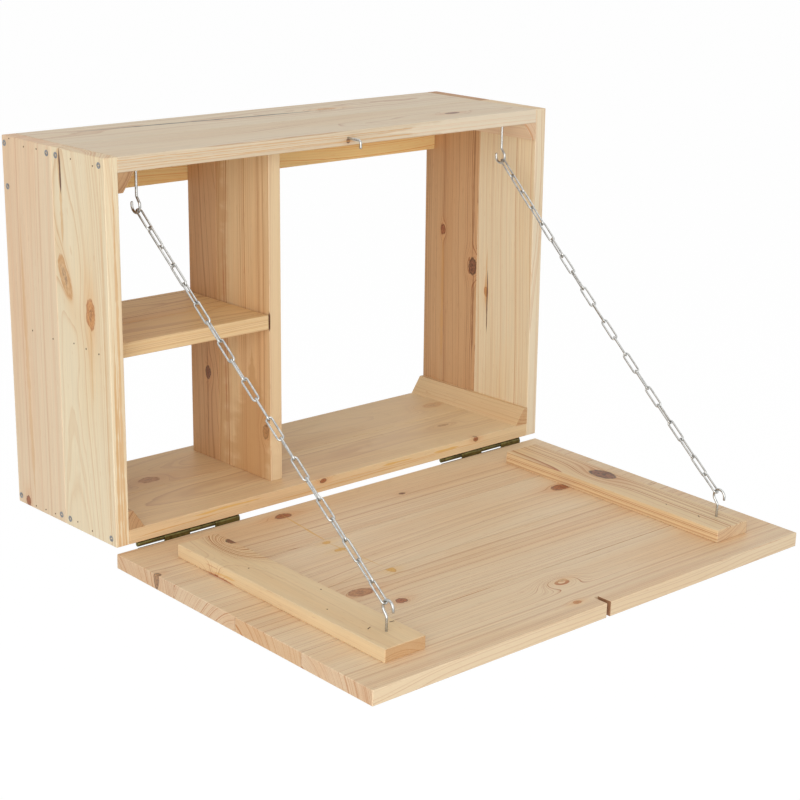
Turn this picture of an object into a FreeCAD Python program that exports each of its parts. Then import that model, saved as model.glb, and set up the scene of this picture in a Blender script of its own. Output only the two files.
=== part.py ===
import FreeCAD, Part
import math
import os

from FreeCAD import Placement, Rotation, Vector

# Fold down wall desk: a pine box that hangs on a wall by its top rear rail, with a flap that folds
# down on two bottom hinges and hangs level on two chains.
# Millimetres. X runs to the right, Y to the wall, Z up. The origin is the middle of the two wall
# screw holes, on the back face of the hanging rail.

# Cabinet, outside sizes
cabinet_width = 580.0
cabinet_height = 380.0
cabinet_depth = 180.0
board = 15.0
edge_ease = 0.6

# Hanging rail and its two wall screw holes
rail_height = 50.0
rail_hole_spacing = 400.0
rail_hole_radius = 2.75
rail_sink_radius = 5.5

# Divider and shelf, both set back from the front
inner_setback = 26.0
divider_left = 209.5
divider_front_width = 90.0
shelf_top = 195.0
shelf_rear_gap = 7.5
shelf_end_gap = 1.0

# Bevelled corner battens: foot on the panel, height up the side, flat at the top
batten_foot = 18.0
batten_height = 19.0
batten_flat = 5.0

# Flap: boards side by side, two battens on the inner face, notch for the latch
flap_length = 380.0
flap_board_count = 4
flap_droop = 1.46
flap_close_gap = 0.4
flap_batten_inset = 42.0
flap_batten_width = 47.5
flap_batten_start = 42.0
flap_batten_length = 305.0
flap_batten_thickness = 13.2
notch_width = 5.6
notch_depth = 17.0

# Hinges with rolled knuckles, under the bottom panel
knuckle_radius = 2.6
knuckle_count = 4
hinge_length = 124.0
knuckle_gap = 0.4
hinge_inset = 25.0
hinge_pin_radius = 1.2
pin_clearance = 0.05
leaf_thickness = 1.2
leaf_drop = 0.4
cabinet_leaf_width = 22.0
flap_leaf_width = 15.0
leaf_hole_radius = 1.8
leaf_screw_count = 3
leaf_screw_margin = 14.0

# Wood screws
screw_head_radius = 3.1
screw_shank_radius = 1.7
screw_head_depth = 2.6
screw_head_proud = 0.3
screw_tip_radius = 0.2
side_screw_length = 40.0
side_screw_rows = (8.5, 82.0, 98.0, 175.0)
rail_screw_height = 330.0
hinge_screw_head_radius = 3.0
hinge_screw_shank_radius = 1.5
cabinet_hinge_screw_length = 12.0
flap_hinge_screw_length = 22.0

# Screw hooks, bent from round wire
hook_wire_radius = 1.3
hook_loop_radius = 6.7
hook_shank_offset = 1.5
hook_kink_rise = 9.5
hook_side_rise = 3.0
hook_tip_rise = 3.5
hook_kink_bend = 4.0
hook_thread_length = 12.0
top_hook_inset = 48.0
top_hook_loop_setback = 21.4
top_hook_drop = 37.5
flap_hook_left = 67.5
flap_hook_right = 521.5
flap_hook_reach = 321.0
flap_hook_rise = 23.3

# Latch: an angled hook in the front edge of the top, straight above the notch
latch_offset = 2.0
latch_wire_radius = 1.4
latch_reach = 19.6
latch_arm = 8.8
latch_bend = 3.0
latch_thread_length = 20.0
latch_clearance = 0.05

# Long link chains, each twisted a quarter turn from end to end, the two in opposite ways.
# The open link has no bend at its lower end: the chain comes apart there as the flap folds up.
chain_links = 20
chain_twist = {"left": -90.0, "right": 90.0}
chain_sag = {"left": 1.2, "right": 3.2}
open_link = 14
link_wire_radius = 1.0
link_width = 7.6
link_gap = 0.3
hook_contact_gap = 0.35
link_bend_steps = 6
chain_groups = (("upper", 9), ("bight_a", 1), ("bight_b", 1), ("drop", 3), ("lower", 6))

# Flat facets of round wire and of screws
wire_sides = 6
wire_bend_step = 20.0
screw_sides = 10

# Places worked out from the sizes above
left = -cabinet_width / 2
right = cabinet_width / 2
front = -cabinet_depth
back = 0.0
middle = -cabinet_depth / 2
top = board + rail_height / 2
bottom = top - cabinet_height
inner_left = left + board
inner_right = right - board
inner_top = top - board
inner_bottom = bottom + board
inner_front = front + inner_setback
divider_x = left + divider_left
rail_front = back - board
pin_y = front + knuckle_radius
pin_z = bottom - leaf_drop - knuckle_radius
flap_rear = front
flap_top = pin_z - (pin_y - front) - flap_close_gap
flap_bottom = flap_top - board
flap_front = flap_rear - flap_length
pin_point = Vector(0, pin_y, pin_z)
along_x = Vector(1, 0, 0)


def block(x0, x1, y0, y1, z0, z1):
    """A plain box between two corners."""
    return Part.makeBox(x1 - x0, y1 - y0, z1 - z0, Vector(x0, y0, z0))


def plank(x0, x1, y0, y1, z0, z1):
    """A sawn and sanded board, with every edge eased."""
    solid = block(x0, x1, y0, y1, z0, z1)
    return solid.makeChamfer(edge_ease, solid.Edges)


def drooped(shape):
    """Turn a piece of the flap from level to the way it hangs on its chains."""
    shape.rotate(pin_point, along_x, flap_droop)
    return shape


def save(node, shape):
    """Write one node, after a look at its solids."""
    if not shape.isValid() or min(solid.Volume for solid in shape.Solids) <= 0:
        raise ValueError(node + " is not a sound solid")
    shape.exportStep("parts/" + node + ".step")


def rounded_points(points, radii):
    """The points with each inner corner turned into a tangent arc of short straight steps."""
    route = [points[0]]
    for before, corner, radius, following in zip(points, points[1:], radii, points[2:]):
        towards = (before - corner).normalize()
        onwards = (following - corner).normalize()
        half_angle = towards.getAngle(onwards) / 2
        centre = corner + (towards + onwards).normalize() * (radius / math.sin(half_angle))
        arm = corner + towards * (radius / math.tan(half_angle)) - centre
        turn = 180 - math.degrees(2 * half_angle)
        axis = onwards.cross(towards)
        count = math.ceil(turn / wire_bend_step)
        for step in range(count + 1):
            point = centre + Rotation(axis, turn * step / count).multVec(arm)
            if (point - route[-1]).Length > 0.01:
                route.append(point)
    route.append(points[-1])
    return route


def wire_ring(point, before, after, normal, wire_radius):
    """Corners of a wire's section where one straight stretch meets the next."""
    tangent = (before + after).normalize()
    stretch = 1 / before.dot(tangent)
    outwards = tangent.cross(normal)
    ring = []
    for side in range(wire_sides):
        angle = 2 * math.pi * (side + 0.5) / wire_sides
        ring.append(
            point + outwards * (wire_radius * math.cos(angle) * stretch)
            + normal * (wire_radius * math.sin(angle))
        )
    return ring


def solid_of_rings(rings, closed):
    """A solid with flat facets between rings of corners; open ones get an end face at each end."""
    faces = []
    count = len(rings)
    for index in range(count if closed else count - 1):
        here = rings[index]
        there = rings[(index + 1) % count]
        for side in range(len(here)):
            following = (side + 1) % len(here)
            corners = [here[side], here[following], there[following], there[side], here[side]]
            faces.append(Part.Face(Part.makePolygon(corners)))
    if not closed:
        for ring in (rings[0], rings[-1]):
            faces.append(Part.Face(Part.makePolygon(ring + ring[:1])))
    solid = Part.makeSolid(Part.makeShell(faces))
    if solid.Volume < 0:
        solid.reverse()
    return solid


def bent_wire(route, normal, wire_radius, closed=False):
    """Wire along a flat route whose plane has the given normal."""
    count = len(route)
    onwards = [(route[(index + 1) % count] - route[index]).normalize() for index in range(count)]
    if not closed:
        onwards[-1] = onwards[-2]
    arriving = [onwards[-1] if closed else onwards[0]] + onwards[:-1]
    rings = [
        wire_ring(point, before, after, normal, wire_radius)
        for point, before, after in zip(route, arriving, onwards)
    ]
    return solid_of_rings(rings, closed)


def screw_hook(root, loop_drop, outwards, opening):
    """A screw hook whose root is in the wood.

    root is where the shank leaves the wood, outwards the way it points, opening the way from the
    closed side of the loop to its tip. loop_drop is from the wood to the middle of the loop.
    """
    def place(across, out):
        return root + opening * across + outwards * out

    closed_side = hook_shank_offset - hook_loop_radius
    tip_side = hook_shank_offset + hook_loop_radius
    loop_end = loop_drop + hook_loop_radius
    points = [
        place(0, -hook_thread_length),
        place(0, loop_drop - hook_kink_rise),
        place(closed_side, loop_drop - hook_side_rise),
        place(closed_side, loop_end),
        place(tip_side, loop_end),
        place(tip_side, loop_drop - hook_tip_rise),
    ]
    radii = [hook_kink_bend, hook_kink_bend, hook_loop_radius, hook_loop_radius]
    return bent_wire(rounded_points(points, radii), along_x, hook_wire_radius)


def wood_screw(head, inwards, length, head_radius, shank_radius, head_depth, proud):
    """A countersunk wood screw: head is the middle of its place on the surface."""
    stations = [
        (-proud, head_radius),
        (0.05, head_radius),
        (head_depth, shank_radius),
        (length - 2 * shank_radius, shank_radius),
        (length, screw_tip_radius),
    ]
    rings = []
    for depth, radius in stations:
        angles = [2 * math.pi * side / screw_sides for side in range(screw_sides)]
        rings.append([Vector(radius * math.cos(a), radius * math.sin(a), depth) for a in angles])
    solid = solid_of_rings(rings, False)
    solid.Placement = Placement(head, Rotation(Vector(0, 0, 1), inwards))
    return solid


def countersunk_hole(head, inwards, depth, hole_radius, sink_radius):
    """The tool that drills and countersinks a hole."""
    sink_depth = sink_radius - hole_radius
    drill = Part.makeCylinder(hole_radius, depth + 2, head - inwards, inwards)
    sink = Part.makeCone(sink_radius + 1, hole_radius, sink_depth + 1, head - inwards, inwards)
    return drill.fuse(sink)


# Cabinet boards

def latch_bore():
    """The tool that bores the hole the latch turns in."""
    start = Vector(latch_offset, front - 1, top - board / 2)
    return Part.makeCylinder(
        latch_wire_radius + latch_clearance, latch_thread_length + 2, start, Vector(0, 1, 0)
    )


def make_cabinet_boards():
    """Sides, top, bottom, divider and shelf, each glued up from a front and a rear board."""
    halves = {"front": (front, middle), "rear": (middle, back)}
    for half, (y0, y1) in halves.items():
        save("left_side_" + half + "_board", plank(left, inner_left, y0, y1, bottom, top))
        save("right_side_" + half + "_board", plank(inner_right, right, y0, y1, bottom, top))
        panel = plank(inner_left, inner_right, y0, y1, inner_top, top)
        if half == "front":
            panel = panel.cut(latch_bore())
        save("top_" + half + "_board", panel)
        save("bottom_" + half + "_board", plank(inner_left, inner_right, y0, y1, bottom, inner_bottom))

    divider_seam = inner_front + divider_front_width
    divider_halves = {"front": (inner_front, divider_seam), "rear": (divider_seam, rail_front)}
    for half, (y0, y1) in divider_halves.items():
        save(
            "divider_" + half + "_board",
            plank(divider_x, divider_x + board, y0, y1, inner_bottom, inner_top),
        )

    shelf_z = bottom + shelf_top
    shelf_halves = {"front": (inner_front, middle), "rear": (middle, back - shelf_rear_gap)}
    for half, (y0, y1) in shelf_halves.items():
        save(
            "shelf_" + half + "_board",
            plank(inner_left, divider_x - shelf_end_gap, y0, y1, shelf_z - board, shelf_z),
        )


def make_hanging_rail():
    """The rail behind the divider, with two countersunk wall screw holes."""
    rail = plank(inner_left, inner_right, rail_front, back, -rail_height / 2, rail_height / 2)
    for side in (-1, 1):
        head = Vector(side * rail_hole_spacing / 2, rail_front, 0)
        rail = rail.cut(countersunk_hole(head, Vector(0, 1, 0), board, rail_hole_radius, rail_sink_radius))
    save("hanging_rail", rail)


def make_corner_battens():
    """Bevelled strips glued into the four long corners, from the front edge to the back."""
    for level, z, up, rear in (("top", inner_top, -1, rail_front), ("bottom", inner_bottom, 1, back)):
        for side, x, inwards in (("left", inner_left, 1), ("right", inner_right, -1)):
            section = Part.makePolygon([
                Vector(x, front, z),
                Vector(x + inwards * batten_foot, front, z),
                Vector(x + inwards * batten_flat, front, z + up * batten_height),
                Vector(x, front, z + up * batten_height),
                Vector(x, front, z),
            ])
            strip = Part.Face(section).extrude(Vector(0, rear - front, 0))
            save("corner_batten_" + level + "_" + side, strip)


def make_side_screws():
    """Screws through each side into the ends of the top, the bottom and the rail."""
    rows = [(front + y, z) for y in side_screw_rows for z in (top - board / 2, bottom + board / 2)]
    rows.append((back - board / 2, bottom + rail_screw_height))
    for side, x, inwards in (("left", left, 1), ("right", right, -1)):
        screws = [
            wood_screw(
                Vector(x, y, z), Vector(inwards, 0, 0), side_screw_length,
                screw_head_radius, screw_shank_radius, screw_head_depth, screw_head_proud,
            )
            for y, z in rows
        ]
        save("side_screws_" + side, Part.makeCompound(screws))


# Flap

def make_flap():
    """Four boards edge to edge, with the notch in the front one, and two battens across them."""
    width = flap_length / flap_board_count
    for index in range(flap_board_count):
        rear_edge = flap_rear - index * width
        solid = plank(left, right, rear_edge - width, rear_edge, flap_bottom, flap_top)
        if index == flap_board_count - 1:
            notch = block(
                latch_offset - notch_width / 2, latch_offset + notch_width / 2,
                flap_front - 1, flap_front + notch_depth, flap_bottom - 1, flap_top + 1,
            )
            solid = solid.cut(notch)
        save("flap_board_%d" % (index + 1), drooped(solid))

    rear_end = flap_rear - flap_batten_start
    for side, x in (
        ("left", left + flap_batten_inset),
        ("right", right - flap_batten_inset - flap_batten_width),
    ):
        solid = plank(
            x, x + flap_batten_width, rear_end - flap_batten_length, rear_end,
            flap_top, flap_top + flap_batten_thickness,
        )
        save("flap_batten_" + side, drooped(solid))


# Hinges

def leaf_screw_places(x0):
    """Where the screws of a hinge that starts at x0 stand along it."""
    step = (hinge_length - 2 * leaf_screw_margin) / (leaf_screw_count - 1)
    return [x0 + leaf_screw_margin + step * index for index in range(leaf_screw_count)]


def knuckles(x0, first):
    """Every other knuckle of a hinge that starts at x0, as solid rolls."""
    pitch = hinge_length / knuckle_count
    rolls = []
    for index in range(first, knuckle_count, 2):
        start = Vector(x0 + index * pitch + knuckle_gap / 2, pin_y, pin_z)
        rolls.append(Part.makeCylinder(knuckle_radius, pitch - knuckle_gap, start, along_x))
    return rolls


def knuckle_cutters(x0, first):
    """Room round the other leaf's knuckles, cut out of a leaf's plate."""
    pitch = hinge_length / knuckle_count
    cutters = []
    for index in range(first, knuckle_count, 2):
        start = Vector(x0 + index * pitch - knuckle_gap / 2, pin_y, pin_z)
        cutters.append(
            Part.makeCylinder(knuckle_radius + knuckle_gap, pitch + knuckle_gap, start, along_x)
        )
    return cutters


def make_leaf(plate, x0, first, holes):
    """A hinge leaf: plate and rolls in one, bored for the pin and drilled for its screws."""
    solid = plate.cut(knuckle_cutters(x0, 1 - first))
    solid = solid.fuse(knuckles(x0, first)).removeSplitter()
    bore = Part.makeCylinder(
        hinge_pin_radius + pin_clearance, hinge_length + 2, Vector(x0 - 1, pin_y, pin_z), along_x
    )
    return solid.cut([bore] + holes)


def make_hinges():
    """Two rolled hinges: one leaf under the bottom panel, the other on the flap's rear edge."""
    cabinet_screws = []
    flap_screws = []
    up = Vector(0, 0, 1)
    forwards = Vector(0, -1, 0)
    leaf_face = bottom - leaf_thickness
    flap_leaf_face = flap_rear + leaf_thickness
    for side, x0 in (("left", left + hinge_inset), ("right", right - hinge_inset - hinge_length)):
        x1 = x0 + hinge_length
        cabinet_heads = [
            Vector(x, pin_y + cabinet_leaf_width * 0.6, leaf_face) for x in leaf_screw_places(x0)
        ]
        plate = block(x0, x1, pin_y, pin_y + cabinet_leaf_width, leaf_face, bottom)
        holes = [
            countersunk_hole(head, up, leaf_thickness, leaf_hole_radius, hinge_screw_head_radius)
            for head in cabinet_heads
        ]
        save("hinge_%s_cabinet_leaf" % side, make_leaf(plate, x0, 0, holes))
        cabinet_screws += [
            wood_screw(
                head, up, cabinet_hinge_screw_length,
                hinge_screw_head_radius - 0.2, hinge_screw_shank_radius, leaf_thickness, 0.0,
            )
            for head in cabinet_heads
        ]

        leaf_bottom = pin_z - knuckle_radius - flap_leaf_width
        flap_heads = [
            Vector(x, flap_leaf_face, flap_top - board / 2) for x in leaf_screw_places(x0)
        ]
        plate = block(x0, x1, flap_rear, flap_leaf_face, leaf_bottom, pin_z)
        holes = [
            countersunk_hole(head, forwards, leaf_thickness, leaf_hole_radius, hinge_screw_head_radius)
            for head in flap_heads
        ]
        save("hinge_%s_flap_leaf" % side, drooped(make_leaf(plate, x0, 1, holes)))
        flap_screws += [
            wood_screw(
                head, forwards, flap_hinge_screw_length,
                hinge_screw_head_radius - 0.2, hinge_screw_shank_radius, leaf_thickness, 0.0,
            )
            for head in flap_heads
        ]

        pin = Part.makeCylinder(hinge_pin_radius, hinge_length, Vector(x0, pin_y, pin_z), along_x)
        save("hinge_%s_pin" % side, pin)
    save("hinge_cabinet_screws", Part.makeCompound(cabinet_screws))
    save("hinge_flap_screws", drooped(Part.makeCompound(flap_screws)))


# Hooks, latch and chains

def top_hook_loop(x):
    """Middle of a top hook's loop."""
    return Vector(x, front + top_hook_loop_setback, inner_top - top_hook_drop)


def flap_hook_loop(x):
    """Middle of a flap hook's loop, as the flap hangs."""
    level = Vector(
        x, flap_rear - flap_hook_reach, flap_top + flap_batten_thickness + flap_hook_rise
    )
    return pin_point + Rotation(along_x, flap_droop).multVec(level - pin_point)


def make_hooks():
    """Two hooks under the top, open to the back, and two on the flap, open to the front."""
    tops = {"left": left + top_hook_inset, "right": right - top_hook_inset}
    for side, x in tops.items():
        shank_y = front + top_hook_loop_setback - hook_shank_offset
        root = Vector(x, shank_y, inner_top)
        hook = screw_hook(root, top_hook_drop, Vector(0, 0, -1), Vector(0, 1, 0))
        save("top_hook_" + side, hook)

    flaps = {"left": left + flap_hook_left, "right": left + flap_hook_right}
    for side, x in flaps.items():
        shank_y = flap_rear - flap_hook_reach + hook_shank_offset
        root = Vector(x, shank_y, flap_top + flap_batten_thickness)
        hook = screw_hook(root, flap_hook_rise, Vector(0, 0, 1), Vector(0, -1, 0))
        save("flap_hook_" + side, drooped(hook))
    return tops, flaps


def make_latch():
    """The turning hook that holds the flap shut."""
    z = top - board / 2
    points = [
        Vector(latch_offset, front + latch_thread_length, z),
        Vector(latch_offset, front - latch_reach, z),
        Vector(latch_offset, front - latch_reach, z - latch_arm),
    ]
    save("latch_hook", bent_wire(rounded_points(points, [latch_bend]), along_x, latch_wire_radius))


def chain_link(end_to_end, open_end):
    """One long link along X, flat in XY; an open link lacks the bend at its far end."""
    bend_radius = link_width / 2 - link_wire_radius
    straight = end_to_end / 2 - bend_radius
    turn = math.pi / link_bend_steps
    route = [Vector(straight, bend_radius, 0)]
    for step in range(link_bend_steps + 1):
        angle = step * turn + math.pi / 2
        route.append(Vector(bend_radius * math.cos(angle) - straight, bend_radius * math.sin(angle), 0))
    route.append(Vector(straight, -bend_radius, 0))
    if not open_end:
        for step in range(1, link_bend_steps):
            angle = step * turn - math.pi / 2
            route.append(Vector(bend_radius * math.cos(angle) + straight, bend_radius * math.sin(angle), 0))
    return bent_wire(route, Vector(0, 0, 1), link_wire_radius, closed=not open_end)


def make_chain(side, upper_loop, lower_loop):
    """A taut chain between two hook loops, in the groups of links that fold up together.

    The links follow a flat parabola below the straight line from loop to loop.
    """
    run = lower_loop - upper_loop
    along = Vector(run).normalize()
    across = (along_x - along * along_x.dot(along)).normalize()
    below = across.cross(along)
    if below.z > 0:
        below = below * -1
    contact = hook_loop_radius - hook_wire_radius - link_wire_radius - hook_contact_gap
    overlap = 2 * link_wire_radius + link_gap
    pitch = (run.Length - 2 * contact - overlap) / chain_links
    closed_link = chain_link(pitch + overlap, False)
    cut_link = chain_link(pitch + overlap, True)

    number = 0
    for group, count in chain_groups:
        links = []
        for _ in range(count):
            reach = contact + (pitch + overlap) / 2 + pitch * number
            share = reach / run.Length
            middle_point = upper_loop + along * reach + below * (4 * chain_sag[side] * share * (1 - share))
            slope = 4 * chain_sag[side] * (1 - 2 * share) / run.Length
            tangent = (along + below * slope).normalize()
            flat = Rotation(tangent, across, tangent.cross(across), "XYZ")
            roll = 90.0 * number + chain_twist[side] * number / (chain_links - 1)
            link = (cut_link if number == open_link - 1 else closed_link).copy()
            link.Placement = Placement(middle_point, Rotation(tangent, roll).multiply(flat))
            links.append(link)
            number += 1
        save("chain_%s_%s" % (side, group), Part.makeCompound(links))
    print("chain %s: %d links at a pitch of %.2f mm" % (side, chain_links, pitch))


os.makedirs("parts", exist_ok=True)
make_cabinet_boards()
make_hanging_rail()
make_corner_battens()
make_side_screws()
make_flap()
make_hinges()
top_hook_x, flap_hook_x = make_hooks()
make_latch()
for chain_side in ("left", "right"):
    make_chain(
        chain_side, top_hook_loop(top_hook_x[chain_side]), flap_hook_loop(flap_hook_x[chain_side])
    )
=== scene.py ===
import math

import bmesh
import bpy
from mathutils import Euler, Matrix, Vector


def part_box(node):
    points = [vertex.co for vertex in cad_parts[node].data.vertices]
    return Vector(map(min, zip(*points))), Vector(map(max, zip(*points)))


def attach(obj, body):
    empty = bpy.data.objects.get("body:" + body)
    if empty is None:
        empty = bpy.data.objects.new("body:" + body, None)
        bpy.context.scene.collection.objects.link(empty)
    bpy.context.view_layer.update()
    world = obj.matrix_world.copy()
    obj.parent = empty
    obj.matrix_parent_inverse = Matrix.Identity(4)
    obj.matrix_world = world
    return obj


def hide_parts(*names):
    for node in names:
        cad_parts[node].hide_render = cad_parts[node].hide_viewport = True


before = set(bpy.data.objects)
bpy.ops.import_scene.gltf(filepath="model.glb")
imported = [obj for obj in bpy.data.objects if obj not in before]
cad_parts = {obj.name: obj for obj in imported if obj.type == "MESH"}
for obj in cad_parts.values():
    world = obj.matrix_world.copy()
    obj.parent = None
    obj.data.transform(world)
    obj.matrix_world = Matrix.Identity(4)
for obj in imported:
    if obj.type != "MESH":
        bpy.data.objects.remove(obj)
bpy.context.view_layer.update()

# Fold down wall desk of bare pine, with zinc chains and hooks and yellow zinc hinges.
# Lengths are in millimetres, and MM turns them to metres. Camera, floor and lamps are in metres.
MM = 0.001

# Camera at the photograph's viewing angle, in metres, degrees and pixels
image_size = 800
camera_place = (-1.23648, -1.64725, 0.32479)
camera_turn = (73.3926, -1.0737, -43.1516)
camera_focal_pixels = 1890.0
camera_centre_pixels = (452.0, 403.6)
camera_reach = 100.0

# Floor and lamps: a lamp has its place, size and power
floor_half = 14.0
floor_level = -1.1
floor_grey = (0.86, 0.86, 0.86, 1)
white = (1, 1, 1, 1)
floor_glow = 1.06
floor_glow_share = 0.9
world_light = 0.42
lamp_aim = (0, -0.25, -0.15)
lamps = {
    "key_light": ((-2.2, -2.1, 0.45), 2.6, 56.0),
    "front_light": ((0.9, -3.0, 0.6), 2.0, 6.0),
    "top_light": ((0.2, -0.6, 2.6), 2.2, 15.0),
}

# Screw hooks and the turning latch
hook_wire_radius = 1.3
hook_loop_radius = 6.7
hook_shank_offset = 1.5
hook_kink_rise = 9.5
hook_side_rise = 3.0
hook_tip_rise = 3.5
hook_kink_bend = 4.0
hook_sunk = 4.0
top_hook_drop = 37.5
flap_hook_rise = 23.3
flap_hook_reach = 321.0
latch_wire_radius = 1.4
latch_bend = 3.0

# Chains
chain_links = 20
chain_twist = {"left": -90.0, "right": 90.0}
chain_sag = {"left": 1.2, "right": 3.2}
chain_groups = (("upper", 9), ("bight_a", 1), ("bight_b", 1), ("drop", 3), ("lower", 6))
link_wire_radius = 1.0
link_width = 7.6
link_gap = 0.3
hook_contact_gap = 0.35

# Hinges
knuckle_count = 4
knuckle_radius = 2.5
knuckle_gap = 0.5
knuckle_ease = 0.2
leaf_thickness = 1.2
flap_leaf_height = 14.0
flap_leaf_sunk = 0.4

# Side screws, with the cross recess in shares of the head's radius, brads and staples
screw_head_radius = 3.1
screw_head_depth = 2.6
screw_shank_radius = 1.7
screw_turn_step = 0.35
recess_length = 1.1
recess_width = 0.28
recess_depth = 0.9
screw_columns = (-171.5, -98.0, -82.0, -5.0)
screw_rows = (32.5, -332.5)
rail_screw = (-7.5, -10.0)
brad_radius = 0.8
side_brad_height = 0.4
batten_brad_height = 0.3
staple_width = 5.0
staple_breadth = 0.9
staple_height = 0.4

# The flap hangs a little below level, turned about the hinge pins
flap_droop = math.radians(1.46)
flap_below_pin = 3.0
batten_thickness = 13.2
droop_turn = Matrix.Rotation(flap_droop, 3, "X")
pin_low, pin_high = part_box("hinge_left_pin")
pin = Vector((0, pin_low.y + pin_high.y, pin_low.z + pin_high.z)) / 2
flap_top = pin.z - flap_below_pin * MM
flap_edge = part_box("bottom_front_board")[0].y


def on_flap(x, reach, height):
    """A point over the flap's top face, at a reach from its rear edge, as the flap droops."""
    level = Vector((x * MM, flap_edge - reach * MM, flap_top + height * MM))
    return pin + droop_turn @ (level - pin)


def srgb(red, green, blue):
    """A colour as written in 0 to 255, as Blender's linear colour."""
    def linear(value):
        share = value / 255
        return share / 12.92 if share <= 0.04045 else ((share + 0.055) / 1.055) ** 2.4
    return (linear(red), linear(green), linear(blue), 1.0)


def linked(name, data):
    """A new object in the scene."""
    thing = bpy.data.objects.new(name, data)
    bpy.context.scene.collection.objects.link(thing)
    return thing


def new_material(name):
    """A material with its node tree and its shader."""
    material = bpy.data.materials.new(name)
    material.use_nodes = True
    return material, material.node_tree, material.node_tree.nodes["Principled BSDF"]


# Node helpers

def give(tree, node, inputs):
    """Sets a node's inputs to values or to other nodes' outputs."""
    for key, value in inputs.items():
        if isinstance(value, bpy.types.NodeSocket):
            tree.links.new(value, node.inputs[key])
        else:
            node.inputs[key].default_value = value


def add(tree, kind, inputs, **settings):
    """The outputs of a new node with its settings and inputs."""
    node = tree.nodes.new(kind)
    for name, value in settings.items():
        setattr(node, name, value)
    give(tree, node, inputs)
    return node.outputs


def calc(tree, operation, first, second=0.0, third=0.0):
    """A Math node's result."""
    return add(tree, "ShaderNodeMath", {0: first, 1: second, 2: third}, operation=operation)[0]


def times(tree, first, second, plus=0.0):
    """A product, with something added."""
    return calc(tree, "MULTIPLY_ADD", first, second, plus)


def vector_calc(tree, operation, first, second=(0, 0, 0), third=(0, 0, 0)):
    """A Vector Math node's outputs."""
    return add(tree, "ShaderNodeVectorMath", {0: first, 1: second, 2: third}, operation=operation)


def split(tree, vector):
    """The parts of a vector."""
    return add(tree, "ShaderNodeSeparateXYZ", {0: vector})


def joined(tree, x, y, z):
    """A vector from its parts."""
    return add(tree, "ShaderNodeCombineXYZ", {0: x, 1: y, 2: z})[0]


def smooth(tree, value, low, high):
    """0 below low, 1 above high, smooth between; the other way round where low is above high."""
    settings = {"Value": value, "From Min": low, "From Max": high}
    if low > high:
        settings = {"Value": value, "From Min": high, "From Max": low, "To Min": 1.0, "To Max": 0.0}
    return add(tree, "ShaderNodeMapRange", settings, interpolation_type="SMOOTHSTEP")[0]


def mixed(tree, share, first, second, blend_type="MIX"):
    """Two colours mixed."""
    colours = {0: share, 6: first, 7: second}
    return add(tree, "ShaderNodeMix", colours, data_type="RGBA", blend_type=blend_type)[2]


def laid(tree, mask, share, colour, over):
    """A colour laid over another where a mask allows, at a share."""
    return mixed(tree, times(tree, mask, share), over, colour)


def noise(tree, vector, seed, detail, roughness, scale=1.0, output="Fac"):
    """Seeded noise from 0 to 1."""
    inputs = {"Vector": vector, "W": seed, "Scale": scale, "Detail": detail, "Roughness": roughness}
    return add(tree, "ShaderNodeTexNoise", inputs, noise_dimensions="4D")[output]


def grain_noise(tree, board, along, across, seed, shift, detail, roughness=0.5):
    """Noise with its own scales along and across a board's grain."""
    scaled = vector_calc(tree, "MULTIPLY", board, (along, across, across))[0]
    return noise(tree, scaled, calc(tree, "ADD", seed, shift), detail, roughness)


def new_group(name, kind, inputs):
    """A node group with named inputs, by their kind."""
    tree = bpy.data.node_groups.new(name, kind)
    for socket, labels in inputs.items():
        for label in labels:
            tree.interface.new_socket(label, in_out="INPUT", socket_type="NodeSocket" + socket)
    return tree, add(tree, "NodeGroupInput", {})


def sent(tree, results, socket="Float"):
    """A node group with its results as named outputs."""
    for label in results:
        tree.interface.new_socket(label, in_out="OUTPUT", socket_type="NodeSocket" + socket)
    add(tree, "NodeGroupOutput", results)
    return tree


# Pine

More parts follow.
